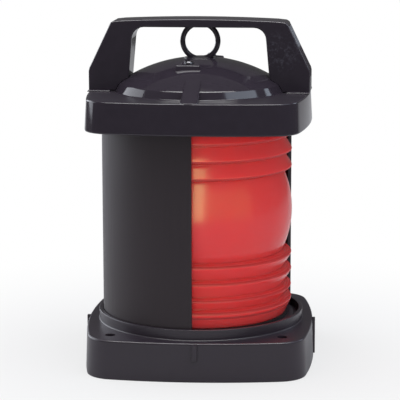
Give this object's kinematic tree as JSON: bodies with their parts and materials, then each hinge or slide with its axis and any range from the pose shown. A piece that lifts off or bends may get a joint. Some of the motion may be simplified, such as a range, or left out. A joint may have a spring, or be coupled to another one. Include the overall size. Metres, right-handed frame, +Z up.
{
  "type": "ship's side light",
  "caption": "Ship's side light with a ribbed red drum lens, a part screen, a square base and a carrying handle on a head that a ring nut clamps down.",
  "frame": {"origin": "centre of the base's underside, on the surface that the light is bolted to", "axes": "+Z up the lamp's axis; -Y is dead ahead, where the window begins; +X is abeam on the lit side"},
  "size_m": [0.1824, 0.1824, 0.2685],
  "materials": {
    "base_plastic": "satin, moulded charcoal",
    "head_plastic": "glossy black, moulded",
    "nut_coat": "glossy black coat on cast brass",
    "screen_plastic": "satin black sheet",
    "red_lens": "pressed red acrylic, clear through",
    "black_rubber": "matt",
    "stainless": "plain machined",
    "dark_steel": "black zinc plate",
    "zinc_steel": "zinc plated sheet",
    "brass": "drawn, plain",
    "holder_plastic": "phenolic moulding",
    "clear_glass": "blown, clear",
    "tungsten": "drawn wire",
    "block_plastic": "moulded",
    "wire_cover": "silicone sleeve"
  },
  "bodies": {
    "root": {"base_housing": "base_plastic", "mount_bushes": "brass", "bottom_cover": "base_plastic", "cover_gasket": "black_rubber", "cover_screws": "stainless", "cable_grommet": "black_rubber", "lower_lens_ring": "black_rubber", "drum_lens": "red_lens", "light_screen": "screen_plastic", "tie_rods": "stainless", "rod_nuts": "stainless", "lamp_strap": "zinc_steel", "holder_pillar": "zinc_steel", "holder_body": "holder_plastic", "holder_shell": "brass", "contact_springs": "stainless", "terminal_block": "block_plastic", "terminal_screws": "brass", "feed_wires": "wire_cover", "bridge": "zinc_steel", "centre_stud": "stainless", "stud_nuts": "stainless"},
    "head": {"head_housing": "head_plastic", "upper_lens_ring": "black_rubber", "handle": "head_plastic", "handle_screws": "stainless", "ring_seal": "black_rubber", "retaining_strap": "zinc_steel", "strap_screws": "dark_steel"},
    "nut": {"ring_nut": "nut_coat"},
    "plungers": {"contact_plungers": "brass"},
    "lamp": {"lamp_cap": "brass", "lamp_contacts": "zinc_steel", "lamp_glass": "clear_glass", "lamp_stem": "clear_glass", "lamp_filament": "tungsten"}
  },
  "joints": [
    {"name": "nut_turn", "type": "hinge", "parent": "head", "child": "nut", "pos_m": [0, 0, 0.23], "axis": [0, 0, 1], "range_deg": [0, 1801]},
    {"name": "head_lift", "type": "slide", "parent": "root", "child": "head", "axis": [0, 0, 1], "range_m": [0, 0.00625]},
    {"name": "contact_press", "type": "slide", "parent": "root", "child": "plungers", "axis": [0, 0, 1], "range_m": [-0.0015, 0], "stiffness_N_per_m": 1500, "springref_m": 0.002, "deforming": ["contact_springs"]},
    {"name": "lamp_turn", "type": "hinge", "parent": "plungers", "child": "lamp", "pos_m": [0, 0, 0.064], "axis": [0, 0, 1], "range_deg": [0, 20]}
  ],
  "couplings": [
    {"joint": "nut_turn", "follows": "head_lift", "rad_per_m": 5026.5}
  ]
}
